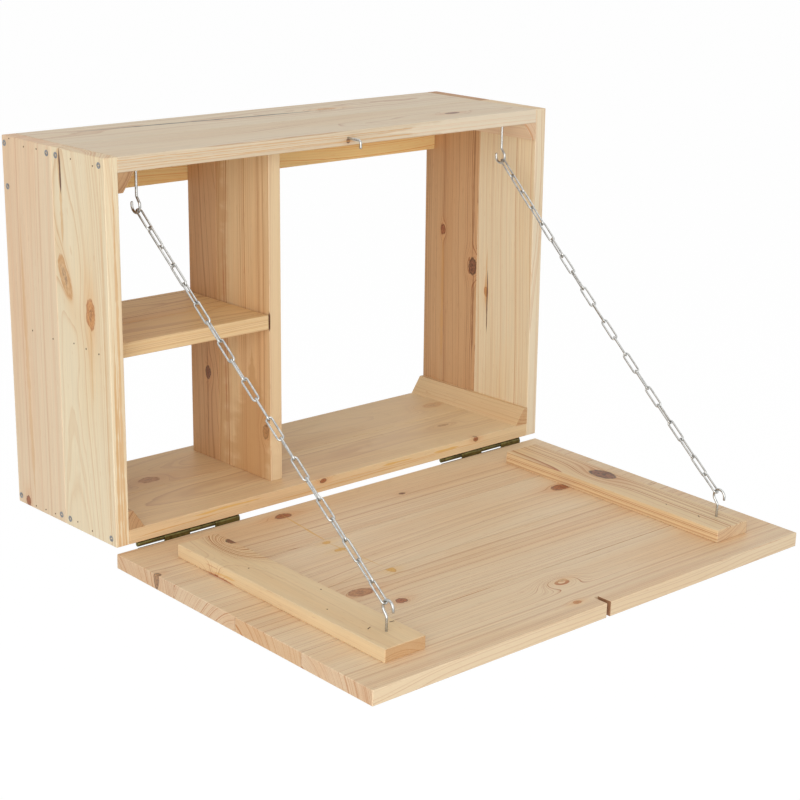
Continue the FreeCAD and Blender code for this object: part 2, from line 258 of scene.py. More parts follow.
def pine_figure():
    """Growth rings round a wandering pith, cut by the board, with fibres along the grain."""
    tree, given = new_group("pine_figure", "ShaderNodeTree", {
        "Vector": ["Board"],
        "Float": ["Pith Across", "Pith Depth", "Ring Width", "Wander", "Drift", "Swirl", "Seed"],
    })
    board = given["Board"]
    seed = given["Seed"]
    drift = grain_noise(tree, board, 1.3, 2.0, seed, 0.0, 1.0)
    waves = grain_noise(tree, board, 6.0, 24.0, seed, 3.1, 4.0, 0.42)
    place = split(tree, board)
    drifted = times(tree, calc(tree, "SUBTRACT", drift, 0.5), given["Drift"])
    across = calc(tree, "ADD", calc(tree, "SUBTRACT", place["Y"], given["Pith Across"]), drifted)
    depth = calc(tree, "ADD", calc(tree, "SUBTRACT", place["Z"], given["Pith Depth"]), drifted)
    squares = times(tree, across, across, times(tree, depth, depth))
    bent = times(tree, calc(tree, "SUBTRACT", waves, 0.5), given["Wander"], given["Swirl"])
    radius = calc(tree, "ADD", calc(tree, "SQRT", squares), bent)
    uneven = add(
        tree, "ShaderNodeTexNoise", {"W": times(tree, radius, 70.0), "Detail": 1.0}, noise_dimensions="1D"
    )["Fac"]
    rings = times(tree, uneven, 2.6, calc(tree, "DIVIDE", radius, given["Ring Width"]))
    share = calc(tree, "FRACT", rings)
    ring_tone = add(
        tree, "ShaderNodeTexWhiteNoise", {"W": calc(tree, "ADD", calc(tree, "FLOOR", rings), seed)},
        noise_dimensions="1D",
    )["Value"]
    onset = times(tree, ring_tone, -0.35, 0.62)
    rise = add(tree, "ShaderNodeMapRange", {"Value": share, "From Min": onset, "From Max": 0.95})[0]
    late = times(tree, calc(tree, "POWER", rise, 2.6), smooth(tree, share, 1.0, 0.955))
    fine = grain_noise(tree, board, 24.0, 1300.0, seed, 0.0, 3.0, 0.62)
    broad = grain_noise(tree, board, 7.0, 260.0, seed, 7.9, 3.0, 0.55)
    duct = grain_noise(tree, board, 80.0, 800.0, seed, 5.3, 0.0)
    return sent(tree, {
        "Latewood": times(tree, late, times(tree, ring_tone, 0.8, 0.2)),
        "Fibre": times(tree, fine, 0.55, times(tree, broad, 0.45)),
        "Patch": grain_noise(tree, board, 3.0, 18.0, seed, 9.7, 3.0),
        "Duct": smooth(tree, duct, 0.72, 0.80),
    })


def knot_figure():
    """A branch inside a board: masks of its parts and stain, and how it bends and parts the rings."""
    tree, given = new_group("knot_figure", "ShaderNodeTree", {
        "Vector": ["Board", "Middle", "Squeeze"], "Float": ["Radius", "Lean", "Seed"],
    })
    seed = given["Seed"]
    parts = split(tree, vector_calc(tree, "SUBTRACT", given["Board"], given["Middle"])[0])
    leant = calc(tree, "SUBTRACT", parts["Y"], times(tree, parts["X"], given["Lean"]))
    off = vector_calc(tree, "DIVIDE", joined(tree, parts["X"], leant, parts["Z"]), given["Radius"])[0]
    plain = vector_calc(tree, "MULTIPLY", off, given["Squeeze"])[0]
    cloud = noise(tree, plain, seed, 3.0, 0.55, 1.1, "Color")
    shifted = vector_calc(tree, "SUBTRACT", cloud, (0.5, 0.5, 0.5))[0]
    warped = vector_calc(tree, "MULTIPLY_ADD", shifted, (0.9, 0.8, 0.5), plain)[0]
    away = vector_calc(tree, "LENGTH", warped)["Value"]
    blotch = noise(tree, plain, calc(tree, "ADD", seed, 4.0), 4.0, 0.65, 3.2)
    bark = times(tree, smooth(tree, away, 0.68, 0.93), smooth(tree, away, 1.16, 0.98))
    turns = calc(tree, "SINE", times(tree, blotch, 5.0, times(tree, away, 19.0)))
    mottled = times(tree, turns, 0.22, smooth(tree, blotch, 0.35, 0.68))
    place = split(tree, warped)
    angle = times(tree, calc(tree, "ARCTAN2", place["Y"], place["X"]), 1.5)
    spoke = calc(tree, "ABSOLUTE", calc(tree, "SINE", times(tree, blotch, 4.0, angle)))
    wide = vector_calc(tree, "MULTIPLY", warped, (0.34, 0.62, 0.6))[0]
    far = vector_calc(tree, "DOT_PRODUCT", wide, wide)["Value"]
    lens = vector_calc(tree, "MULTIPLY", plain, (0.52, 0.60, 0.5))[0]
    bulge = vector_calc(tree, "DOT_PRODUCT", lens, lens)["Value"]
    swell = calc(tree, "EXPONENT", times(tree, bulge, -1.0))
    return sent(tree, {
        "Core": smooth(tree, away, 1.15, 0.72),
        "Bark": times(tree, bark, smooth(tree, blotch, 0.30, 0.52)),
        "Heart": smooth(tree, away, 0.55, 0.08),
        "Blotch": calc(tree, "MINIMUM", calc(tree, "MAXIMUM", mottled, 0.0), 1.0),
        "Crack": times(tree, smooth(tree, spoke, 0.24, 0.05), smooth(tree, away, 0.85, 0.35)),
        "Stain": calc(tree, "EXPONENT", times(tree, far, -1.1)),
        "Swirl": swell,
        "Part": times(tree, split(tree, lens)["Y"], swell),
    })


def streak_figure():
    """A narrow line along the grain that wavers and breaks, such as a check or a resin slit."""
    tree, given = new_group("streak_figure", "ShaderNodeTree", {
        "Vector": ["Board"], "Float": ["Start", "End", "Across", "Slope", "Width", "Seed"],
    })
    board = given["Board"]
    seed = given["Seed"]
    place = split(tree, board)
    wobble = grain_noise(tree, board, 28.0, 4.0, seed, 0.0, 3.0)
    swell = grain_noise(tree, board, 70.0, 30.0, seed, 2.0, 2.0)
    past = calc(tree, "SUBTRACT", place["X"], given["Start"])
    line = times(tree, past, given["Slope"], given["Across"])
    swayed = times(tree, calc(tree, "SUBTRACT", wobble, 0.5), streak_sway * MM, place["Y"])
    off = calc(tree, "ABSOLUTE", calc(tree, "SUBTRACT", swayed, line))
    share = calc(tree, "DIVIDE", past, calc(tree, "SUBTRACT", given["End"], given["Start"]))
    ends = times(tree, smooth(tree, share, 0.0, 0.25), smooth(tree, share, 1.0, 0.65))
    full = times(tree, smooth(tree, swell, 0.30, 0.62), 0.5, 0.5)
    breadth = times(tree, given["Width"], times(tree, full, ends))
    breadth = calc(tree, "MAXIMUM", breadth, streak_least * MM)
    return sent(tree, {"Mask": smooth(tree, calc(tree, "DIVIDE", off, breadth), 1.0, 0.35)})


streak_sway = 2.2
streak_least = 0.001
pine_group = pine_figure()
knot_group = knot_figure()
streak_group = streak_figure()

# Which way a board's grain runs, as the turn from the frame to the board's own axes
grain_turns = {
    "sideways": (0, 0, 0),
    "upright": (0, math.pi / 2, 0),
    "rail": (math.pi / 2, 0, 0),
    "inwards": (0, 0, -math.pi / 2),
    "flap_sideways": (-flap_droop, 0, 0),
    "flap_inwards": (-flap_droop, 0, -math.pi / 2),
}

# Early wood, late wood and warm patches of the boards, and how much they shine
pine_tones = {
    "cream": ((239, 221, 187), (202, 142, 74), (235, 202, 150), 0.4),
    "pinkish": ((235, 211, 178), (204, 142, 92), (232, 188, 148), 0.4),
    "pale": ((225, 206, 177), (182, 130, 80), (220, 191, 152), 0.5),
    "flap": ((233, 209, 174), (178, 106, 50), (226, 184, 136), 0.5),
    "floor": ((234, 206, 163), (170, 112, 66), (218, 180, 136), 0.2),
    "batten": ((234, 208, 166), (176, 104, 46), (226, 184, 130), 0.4),
    "brown_end": ((202, 164, 122), (146, 98, 64), (192, 148, 106), 0.2),
    "honey": ((228, 198, 154), (172, 98, 44), (218, 168, 112), 0.12),
    "shelf": ((236, 202, 150), (166, 92, 40), (224, 170, 106), 0.12),
    # orange: the rear boards' own tone, darkened further as painted shade of the deep inside of the cabinet
    "orange": ((210, 168, 124), (142, 76, 34), (198, 142, 90), 0.2),
    "amber": ((255, 226, 164), (232, 146, 70), (255, 206, 132), 0.2),
}

# Core, blotches, bark, heart and stain of the knots
knot_shades = {
    "tan": ((220, 180, 132), (204, 156, 106), (204, 148, 92), (146, 114, 92), (230, 192, 142)),
    "amber": ((214, 154, 94), (176, 106, 56), (180, 110, 58), (96, 56, 36), (226, 172, 110)),
    "red": ((176, 108, 68), (146, 80, 50), (108, 58, 40), (92, 48, 34), (214, 158, 108)),
    "dark": ((148, 96, 68), (98, 60, 42), (50, 33, 26), (48, 32, 26), (206, 152, 106)),
    "cracked": ((200, 152, 106), (120, 82, 58), (62, 42, 34), (54, 38, 30), (214, 160, 112)),
    "brown": ((192, 140, 96), (166, 110, 70), (146, 92, 58), (104, 66, 46), (218, 172, 126)),
    "faint": ((206, 164, 124), (184, 138, 100), (168, 120, 84), (140, 96, 70), (216, 176, 136)),
    "resin": ((226, 180, 98), (214, 160, 76), (204, 146, 66), (214, 160, 76), (230, 192, 130)),
}

# Lines and shades along the boards
mark_shades = {
    # slit: dark slits in the wood, and painted shadow in the gap behind the shelf's end
    "slit_and_gap_shadow": (92, 50, 30),
    "check": (40, 24, 16),
    # brown: brown lines in the wood, and painted shade in the flap's notch
    "brown": (140, 86, 50),
    "orange": (212, 156, 88),
    # red: red lines in the wood, and painted shade at the foot of the left batten
    "red": (178, 92, 52),
    # honey: the left batten's sawn end, and painted shade low on the divider's front
    "honey": (196, 148, 98),
    "sapwood": (240, 216, 178),
    "white_sapwood": (246, 232, 208),
    "heartwood": (198, 148, 98),
    "seam": (120, 78, 50),
    "resin": (222, 176, 96),
}

# How far the pith drifts along a board, and along the straight battens
board_drift = 60.0
batten_drift = 12.0

# Distances from a board's edge for knots, marks and seams, and the height where its face begins
edge_knot_zone = 3.0
edge_skin = 0.8
face_skin = 6.7
seam_from = 1.6
seam_full = 0.6

# Shares and strengths in the pine's paint
warm_share = 0.55
stain_contrast = 0.40
bend_contrast = 8.0
end_contrast = 1.4
parting_push = 1.3
fibre_range = 0.42
fibre_least = 0.79
duct_share = 0.22
pore_share = 0.40
pore_scale = 900.0
stain_share = 1.1
core_share = 0.90
bark_share = 0.75
crack_share = 0.6
seam_share = 0.3
seam_end_share = 0.4
mark_groove = -1.5
early_roughness = 0.52
late_gloss = -0.12
relief_strength = 0.4
relief_depth = 0.2


def place_knots(tree, board, half_breadth, seed, pith, knots):
    """The knots' masks and shades, how far they shift the rings, and where they make them clearer."""
    figures = []
    swirl = 0.0
    clearer = 0.0
    for index, (along, across, depth, radius, stretch, shade, push, *lean) in enumerate(knots):
        at_edge = abs(across * MM) > half_breadth - edge_knot_zone * MM
        masks = add(tree, "ShaderNodeGroup", {
            "Board": board,
            "Middle": (along * MM, across * MM, depth * MM),
            "Radius": radius * MM,
            "Squeeze": (1 / stretch, 0.4, 1) if at_edge else (1 / stretch, 1, 0.4),
            "Lean": lean[0] if lean else 0.0,
            "Seed": seed + 1.7 * index,
        }, node_tree=knot_group)
        from_pith = Vector((across - pith[0], depth - pith[1])).normalized().x
        parting = from_pith if shade and not at_edge else 0.0
        swirl = times(tree, masks["Swirl"], (1 - abs(parting)) * push * MM, swirl)
        swirl = times(tree, masks["Part"], -parting_push * parting * push * MM, swirl)
        if shade:
            figures.append((masks, [srgb(*colour) for colour in knot_shades[shade]]))
            clearer = calc(tree, "MAXIMUM", masks["Stain"], clearer)
        else:
            clearer = calc(tree, "MAXIMUM", times(tree, masks["Swirl"], bend_contrast), clearer)
    return figures, swirl, clearer


def paint_knots(tree, figures, fibre, colour, height):
    """Knots over a board's colour and relief."""
    for masks, (core, blotch, bark, heart, stain) in figures:
        colour = laid(tree, masks["Stain"], times(tree, fibre, stain_share), stain, colour)
        inside = mixed(tree, masks["Blotch"], core, blotch)
        inside = laid(tree, masks["Heart"], masks["Blotch"], heart, inside)
        colour = laid(tree, masks["Core"], core_share, inside, colour)
        colour = laid(tree, masks["Bark"], bark_share, bark, colour)
        colour = laid(tree, masks["Crack"], crack_share, heart, colour)
        height = times(tree, masks["Crack"], -1.0, height)
    return colour, height


def paint_marks(tree, board, half_breadth, seed, end_grain, marks, colour, height):
    """Streaks, drips and edge lines over a board's colour and relief."""
    parts = split(tree, board)
    planes = {
        "streak": board,
        "drip": joined(tree, parts["Y"], parts["X"], parts["Z"]),
        "edge": joined(tree, parts["X"], parts["Z"], parts["Y"]),
    }
    from_middle = calc(tree, "ABSOLUTE", parts["Y"])
    kept_to = {
        "edge": calc(tree, "GREATER_THAN", from_middle, half_breadth - edge_skin * MM),
        "face": calc(tree, "GREATER_THAN", parts["Z"], face_skin * MM),
        "end": end_grain,
    }
    for index, (kind, start, end, middle, slope, width, shade, share, *kept) in enumerate(marks):
        mask = add(tree, "ShaderNodeGroup", {
            "Board": planes[kind], "Start": start * MM, "End": end * MM, "Across": middle * MM,
            "Slope": slope, "Width": width * MM, "Seed": seed + index + 20,
        }, node_tree=streak_group)["Mask"]
        for part in [kind] + kept:
            if part in kept_to:
                mask = times(tree, mask, kept_to[part])
        colour = laid(tree, mask, share, srgb(*mark_shades[shade]), colour)
        if kind == "streak":
            height = times(tree, mask, mark_groove * share, height)
    return colour, height


def pine_material(node, seed, grain, tone, pith, ring_width, contrast, wander, knots, marks):
    """Bare planed pine for one board, with its own knots and marks."""
    low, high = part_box(node)
    turn = Euler(grain_turns[grain]).to_matrix()
    shift = turn @ ((low + high) / 2)
    half_breadth = abs((turn @ (high - low)).y) / 2
    material, tree, shader = new_material("pine_" + node)
    frame_place = add(tree, "ShaderNodeTexCoord", {})
    board = add(tree, "ShaderNodeMapping", {
        "Vector": frame_place["Object"], "Location": -shift, "Rotation": grain_turns[grain],
    })[0]

    figures, swirl, clearer = place_knots(tree, board, half_breadth, seed, pith, knots)
    drift = batten_drift if tone == "batten" else board_drift
    wood = add(tree, "ShaderNodeGroup", {
        "Board": board, "Pith Across": pith[0] * MM, "Pith Depth": pith[1] * MM, "Swirl": swirl,
        "Ring Width": ring_width * MM, "Wander": wander * MM, "Drift": drift * MM, "Seed": seed,
    }, node_tree=pine_group)

    *colours, shine = pine_tones[tone]
    early, late, warm = [srgb(*colour) for colour in colours]
    colour = laid(tree, smooth(tree, wood["Patch"], 0.42, 0.75), warm_share, warm, early)
    facing = vector_calc(tree, "DOT_PRODUCT", frame_place["Normal"], turn.row[0])["Value"]
    end_grain = smooth(tree, calc(tree, "ABSOLUTE", facing), 0.6, 0.9)
    strength = times(tree, clearer, stain_contrast, contrast)
    strength = times(tree, end_grain, calc(tree, "SUBTRACT", end_contrast, strength), strength)
    colour = laid(tree, wood["Latewood"], strength, late, colour)
    fibre = times(tree, wood["Fibre"], fibre_range, fibre_least)
    colour = mixed(tree, 1.0, colour, fibre, "MULTIPLY")
    colour = laid(tree, wood["Duct"], duct_share, late, colour)
    pores = times(tree, noise(tree, board, seed, 3.0, 0.7, pore_scale), pore_share)
    colour = laid(tree, end_grain, pores, late, colour)
    height = times(tree, wood["Latewood"], 0.5, wood["Fibre"])

    colour, height = paint_knots(tree, figures, wood["Fibre"], colour, height)
    if node in seamed_boards:
        forwards = times(tree, split(tree, board)["Y"], -1.0)
        seam = smooth(tree, forwards, half_breadth - seam_from * MM, half_breadth - seam_full * MM)
        darker = times(tree, end_grain, seam_end_share, seam_share)
        colour = laid(tree, seam, darker, srgb(*mark_shades["seam"]), colour)
    colour, height = paint_marks(tree, board, half_breadth, seed, end_grain, marks, colour, height)

    relief = {"Height": height, "Strength": relief_strength, "Distance": relief_depth * MM}
    give(tree, shader, {
        "Base Color": colour,
        "Roughness": times(tree, wood["Latewood"], late_gloss, early_roughness),
        "Specular IOR Level": shine,
        "Normal": add(tree, "ShaderNodeBump", relief)[0],
    })
    return material


# Each board: grain, tone, pith from its middle, ring width, contrast, waviness, knots and marks.
# Places are in millimetres from the middle of the board: along its grain, across it, and up from it.
# A knot is along, across, depth, radius, stretch, shade and push on the rings, and may lean.
# Without a shade it only bends the rings.
# A mark is a line: a streak along the grain, a drip across it, or along the board's edge at a depth.
# It has start, end, place, slope, width, shade and share, and may keep to the face or to sawn ends.
seamed_boards = ("flap_board_1", "flap_board_2", "flap_board_3")
face = 7.5
batten_face = 6.6
notch_middle = 2.0
boards = [
    ("left_side_front_board", "upright", "cream", (25, 70), 2.9, 0.50, 7,
     [(67, 29, face, 8, 2.4, "tan", 6, 0.35), (37, -14, face, 7, 2.1, "amber", 6)],
     [("streak", 90, 205, 30, 0.02, 4, "orange", 0.5), ("streak", 144, 194, 30, 0.03, 2.2, "slit_and_gap_shadow", 0.95),
      ("streak", -60, 40, -13, 0, 2.4, "orange", 0.35), ("streak", -240, 240, -37, 0, 3, "orange", 0.30),
      ("edge", -280, 230, -4.5, 0.008, 2.2, "orange", 0.55),
      ("edge", -330, 60, 4, -0.004, 2.4, "orange", 0.6),
      ("edge", -250, 10, -1, 0.006, 2, "orange", 0.55)]),
    ("left_side_rear_board", "upright", "pinkish", (260, 20), 5, 0.65, 5,
     [(-185, 26, face, 4, 1.4, "red", 4)], [("streak", -200, 130, 12, 0.02, 5, "orange", 0.35)]),
    ("right_side_front_board", "upright", "cream", (-170, 40), 4.6, 1.05, 6,
     [(-31, 28, face, 3, 2, "amber", 5)],
     [("streak", -84, 2, 26, 0, 1.5, "slit_and_gap_shadow", 0.9, "face"),
      ("streak", -60, 30, 29, -0.02, 1.6, "orange", 0.5),
      ("edge", -300, 260, -4.5, 0.004, 2, "orange", 0.35),
      ("edge", -500, 500, 0, 0, 24, "white_sapwood", 0.4)]),
    ("right_side_rear_board", "upright", "orange", (-95, 50), 5.6, 1.1, 13,
     [(31, 13, face, 3.8, 1.6, "red", 9), (-5, -38, face, 6.5, 1.5, "dark", 20)],
     [("streak", -10, 230, -38, 0, 2.4, "brown", 0.5), ("streak", -120, 0, -40, 0, 2.6, "brown", 0.6),
      ("streak", -140, 40, 13, 0, 4, "orange", 0.4)]),
    ("top_front_board", "sideways", "pale", (-10, -70), 3.2, 0.95, 8,
     [(178, -12, face, 4.2, 2.2, "dark", 7), (2, -45, -3, 2.2, 1.2, "dark", 2)],
     [("edge", -480, 420, 4.8, -0.004, 0.8, "orange", 0.55),
      ("edge", -420, 380, 1.8, -0.002, 0.7, "orange", 0.5),
      ("edge", -380, 440, -1.6, -0.003, 0.8, "orange", 0.55),
      ("edge", -440, 420, -4.6, 0.002, 0.7, "orange", 0.5),
      ("edge", 40, 700, 0, 0, 24, "white_sapwood", 0.5)]),
    ("top_rear_board", "sideways", "pale", (10, -80), 3.6, 0.85, 8,
     [(86, 3, face, 5, 2.2, "tan", 9)], [("streak", -240, 110, 19.6, -0.073, 2.8, "check", 1)]),
    ("bottom_front_board", "sideways", "floor", (10, -80), 2.5, 0.50, 6,
     [(195, 12, face, 3, 2.6, "brown", 6), (193, -45, 5, 2.8, 1.3, "red", 6),
      (-31, -45, 4.5, 2.4, 1.8, "red", 6)],
     [("edge", -205, -105, 4, 0, 1.6, "resin", 0.8), ("edge", -270, -150, -2, 0.02, 1, "orange", 0.7),
      ("edge", 50, 100, 3, 0, 1.8, "resin", 0.8), ("edge", 125, 170, 2, 0, 2, "resin", 0.8),
      ("edge", -120, 160, -4, 0.01, 0.9, "orange", 0.6), ("edge", -60, 260, 0.5, 0, 0.8, "orange", 0.5),
      ("streak", 40, 560, 0, 0, 90, "sapwood", 0.35, "face")]),
    ("bottom_rear_board", "sideways", "floor", (-5, -90), 2.6, 0.40, 6,
     [(-175, -22, face, 7.5, 1.5, "faint", 16), (240, -10, face, 7, 1.8, "tan", 12)],
     [("streak", 40, 560, 0, 0, 90, "sapwood", 0.35, "face")]),
    ("divider_front_board", "upright", "honey", (60, -55), 3.2, 1, 6,
     [(-122, -37, face, 5, 1.5, "cracked", 14)],
     [("streak", -700, 700, 46, 0, 28, "heartwood", 0.55), ("streak", -150, 100, 30, 0.02, 2, "red", 0.4),
      # The wide honey streak low on the front is painted shade: the divider darker towards the bottom.
      ("streak", -360, -30, -14, 0, 60, "honey", 0.6), ("edge", -420, 420, 0, 0, 24, "sapwood", 0.6),
      # The short dark streak near the front edge at shelf height is painted shadow in the gap behind the
      # shelf's end.
      ("streak", -14, 10, -44, 0, 2.4, "slit_and_gap_shadow", 0.95, "face")]),
    ("divider_rear_board", "upright", "orange", (-30, -45), 3.8, 1, 8,
     [(-79, -6, face, 4.5, 1.6, "dark", 10)], [("streak", -180, 40, -5, 0, 1.6, "brown", 0.5)]),
    ("shelf_front_board", "sideways", "shelf", (10, -55), 2.2, 1, 5, [],
     [("edge", -200, 260, 3.5, 0, 0.7, "orange", 0.4), ("edge", -240, 230, -2.5, 0, 0.7, "orange", 0.4),
      ("edge", -300, 300, 0, 0, 24, "sapwood", 0.25)]),
    ("shelf_rear_board", "sideways", "shelf", (10, -60), 2.4, 1, 5, [], []),
    ("hanging_rail", "rail", "amber", (160, 40), 4.2, 1, 3, [], []),
    ("corner_batten_top_left", "inwards", "brown_end", (40, 30), 3, 0.5, 5, [], []),
    ("corner_batten_top_right", "inwards", "pinkish", (40, -30), 3, 0.6, 5, [], []),
    ("corner_batten_bottom_left", "inwards", "brown_end", (-15, -12), 1.6, 0.6, 3, [], []),
    ("corner_batten_bottom_right", "inwards", "honey", (-10, 40), 4, 0.5, 6, [], []),
    ("flap_board_1", "flap_sideways", "flap", (70, -45), 2.3, 0.85, 4,
     [(-100, 29, face, 5.5, 1.8, "red", 15), (42, 4, face, 2.4, 1.5, "dark", 4),
      (-290, -19, 4, 4, 1.3, "cracked", 9)],
     [("drip", -60, 40, -109, 0.11, 2, "resin", 0.8, "face")]),
    ("flap_board_2", "flap_sideways", "flap", (-66, -50), 2.4, 0.75, 4,
     [(192, 8, face, 7, 1.5, "red", 16), (-111, 40, face, 3, 1.5, "resin", 2),
      (-112, 18, face, 3, 2.2, "resin", 2)],
     [("drip", -50, 60, -106, -0.05, 1.4, "resin", 0.6, "face")]),
    ("flap_board_3", "flap_sideways", "flap", (74, -40), 2.2, 0.95, 4,
     [(-165, 20, face, 7.5, 1.7, "brown", 14), (-147, -18, face, 5, 1.15, "red", 16),
      (-106, 45, face, 3, 1.4, "resin", 2)], [("drip", -200, 200, -290, 0, 3, "orange", 0.3, "end")]),
    ("flap_board_4", "flap_sideways", "flap", (70, -50), 2.3, 0.8, 4,
     [(2, 17, face, 8, 1.6, None, 22), (6, 17, face, 3, 1.6, "tan", 0),
      (-21, -28, face, 3, 1.5, "amber", 6)],
     # The brown drip on the sawn ends at the notch is painted shade in the notch.
     [("drip", -120, 60, notch_middle, 0, 14, "brown", 0.7, "end"),
      ("edge", -700, 700, 0, 0, 24, "sapwood", 0.5)]),
    ("flap_batten_left", "flap_inwards", "batten", (10, -60), 3, 0.22, 5,
     [(127, -23, batten_face, 2.6, 2.6, "dark", 8), (118, -18, batten_face, 13, 1.7, None, 24),
      (93, 24, -7, 6, 1.2, None, 14),
      (90, 24, -6.4, 1.8, 1.8, "red", 0)],
     # The red edge line at the foot of the side is painted shade where the batten meets the flap.
     [("edge", 60, 112, -5.8, 0, 1.4, "red", 0.8), ("edge", 86, 108, 1.5, 0, 0.9, "red", 0.5),
      ("edge", 58, 96, -1, -0.05, 2.2, "resin", 0.6),
      ("drip", -150, 150, -152.5, 0, 3, "honey", 0.45, "end")]),
    ("flap_batten_right", "flap_inwards", "batten", (25, 60), 2, 1.5, 2,
     [(35, -8, batten_face, 10, 1.6, "dark", 12)],
     [("drip", -150, 150, -152.5, 0, 3, "white_sapwood", 0.2, "end")]),
]


# Metals

def metal_material(name, colour, worn, roughness, mottle_scale, mottle):
    """Plated steel: mottled colour, uneven gloss and fine drawing marks."""
    material, tree, shader = new_material(name)
    coordinates = add(tree, "ShaderNodeTexCoord", {})["Object"]
    cloud = noise(tree, coordinates, 1.0, 3.0, 0.6, mottle_scale)
    grit = noise(tree, coordinates, 2.0, 2.0, 0.6, mottle_scale * 9)
    give(tree, shader, {
        "Base Color": laid(tree, smooth(tree, cloud, 0.4, 0.75), mottle, worn, colour),
        "Metallic": 1.0,
        "Roughness": times(tree, grit, 0.25, roughness - 0.12),
        "Normal": add(tree, "ShaderNodeBump", {"Height": grit, "Strength": 0.15, "Distance": 0.1 * MM})[0],
    })
    return material


zinc = metal_material("bright_zinc", srgb(190, 190, 187), srgb(130, 130, 128), 0.26, 260.0, 0.6)
screw_zinc = metal_material("dull_zinc", srgb(150, 152, 154), srgb(92, 94, 96), 0.3, 300.0, 0.7)
yellow_zinc = metal_material("yellow_zinc", srgb(112, 104, 62), srgb(66, 52, 30), 0.36, 180.0, 0.8)
brad_steel = metal_material("brad_steel", srgb(120, 92, 66), srgb(70, 52, 40), 0.5, 400.0, 0.8)


# Geometry Nodes for what repeats

def geometry(tree, kind, inputs, **settings):
    """A geometry node's first output."""
    return add(tree, "GeometryNode" + kind, inputs, **settings)[0]


def repeat_tree(name, sizes, build):
    """A tree that puts one shape on every point, turned as the point says."""
    sockets = {"Geometry": ["Geometry"], "Float": sizes, "Material": ["Material"]}
    tree, given = new_group(name, "GeometryNodeTree", sockets)
    shape = build(tree, given)
    turn = geometry(tree, "InputNamedAttribute", {"Name": "turn"}, data_type="FLOAT_VECTOR")
    turn = add(tree, "FunctionNodeEulerToRotation", {0: turn})[0]
    points = given["Geometry"]
    placed = geometry(tree, "InstanceOnPoints", {"Points": points, "Instance": shape, "Rotation": turn})
    solid = geometry(tree, "RealizeInstances", {0: placed})
    dressed = geometry(tree, "SetMaterial", {"Geometry": solid, "Material": given["Material"]})
    return sent(tree, {"Geometry": dressed}, "Geometry")


def repeated(tree, name, places, turns, material, sizes):
    """A tree's shape at every place with its turn, as a plain mesh; sizes are in millimetres."""
    points = bpy.data.meshes.new(name)
    points.from_pydata(places, [], [])
    stored = points.attributes.new("turn", "FLOAT_VECTOR", "POINT")
    for index, turn in enumerate(turns):
        stored.data[index].vector = turn
    thing = linked(name, points)
    modifier = thing.modifiers.new("repeat", "NODES")
    modifier.node_group = tree
    for item in tree.interface.items_tree:
        if item.name in sizes:
            modifier[item.identifier] = sizes[item.name] * MM
        elif item.name == "Material":
            modifier[item.identifier] = material
    mesh = bpy.data.meshes.new_from_object(thing.evaluated_get(bpy.context.evaluated_depsgraph_get()))
    thing.modifiers.remove(modifier)
    thing.data = mesh
    bpy.data.meshes.remove(points)
    return thing


def build_link(tree, given):
    """One long link: a rounded loop of round wire, flat in XY, along X."""
    loop = geometry(tree, "CurvePrimitiveQuadrilateral", {"Width": given["Length"], "Height": given["Width"]})
    bend = times(tree, given["Width"], 0.4999)
    rounded = geometry(tree, "FilletCurve", {"Curve": loop, "Radius": bend, "Count": 7}, mode="POLY")
    section = geometry(tree, "CurvePrimitiveCircle", {"Radius": given["Wire Radius"], "Resolution": 12})
    wire = geometry(tree, "CurveToMesh", {"Curve": rounded, "Profile Curve": section})
    return geometry(tree, "SetShadeSmooth", {"Geometry": wire})


def build_screw_head(tree, given):
    """A countersunk head with a cross recess, its face towards +Z."""
    radius = given["Head Radius"]
    head = geometry(tree, "MeshCone", {
        "Vertices": 24, "Radius Top": radius, "Radius Bottom": given["Shank Radius"], "Depth": given["Depth"],
    })
    sunk = joined(tree, 0.0, 0.0, times(tree, given["Depth"], -1.0))
    head = geometry(tree, "Transform", {"Geometry": head, "Translation": sunk})
    cut = geometry(tree, "MeshBoolean", {"Mesh 1": head}, operation="DIFFERENCE", solver="EXACT")
    for shares in ((recess_length, recess_width), (recess_width, recess_length)):
        sides = [times(tree, radius, share) for share in (*shares, recess_depth)]
        slot = geometry(tree, "MeshCube", {"Size": joined(tree, *sides)})
        tree.links.new(slot, cut.node.inputs["Mesh 2"])
    return cut


def build_brad(tree, given):
    """A brad's small flat head."""
    sizes = {"Vertices": 12, "Radius": given["Radius"], "Depth": given["Depth"]}
    return geometry(tree, "MeshCylinder", sizes)


def build_staple(tree, given):
    """A staple's crown, flush in the wood."""
    size = joined(tree, given["Width"], given["Breadth"], given["Height"])
    return geometry(tree, "MeshCube", {"Size": size})


link_tree = repeat_tree("chain_links", ["Length", "Width", "Wire Radius"], build_link)
screw_tree = repeat_tree("screw_heads", ["Head Radius", "Shank Radius", "Depth"], build_screw_head)
brad_tree = repeat_tree("brads", ["Radius", "Depth"], build_brad)
staple_tree = repeat_tree("staples", ["Width", "Breadth", "Height"], build_staple)


# Wires

def rounded_route(points, bends):
    """The points with each inner corner turned into an arc."""
    steps = 8
    least_step = 0.02 * MM
    route = [points[0]]
    for before, corner, bend, following in zip(points, points[1:], bends, points[2:]):
        towards = (before - corner).normalized()
        onwards = (following - corner).normalized()
        half_angle = towards.angle(onwards) / 2
        centre = corner + (towards + onwards).normalized() * (bend / math.sin(half_angle))
        arm = corner + towards * (bend / math.tan(half_angle)) - centre
        axis = onwards.cross(towards)
        for step in range(steps + 1):
            turn = Matrix.Rotation((math.pi - 2 * half_angle) * step / steps, 3, axis)
            point = centre + turn @ arm
            if (point - route[-1]).length > least_step:
                route.append(point)
    route.append(points[-1])
    return route


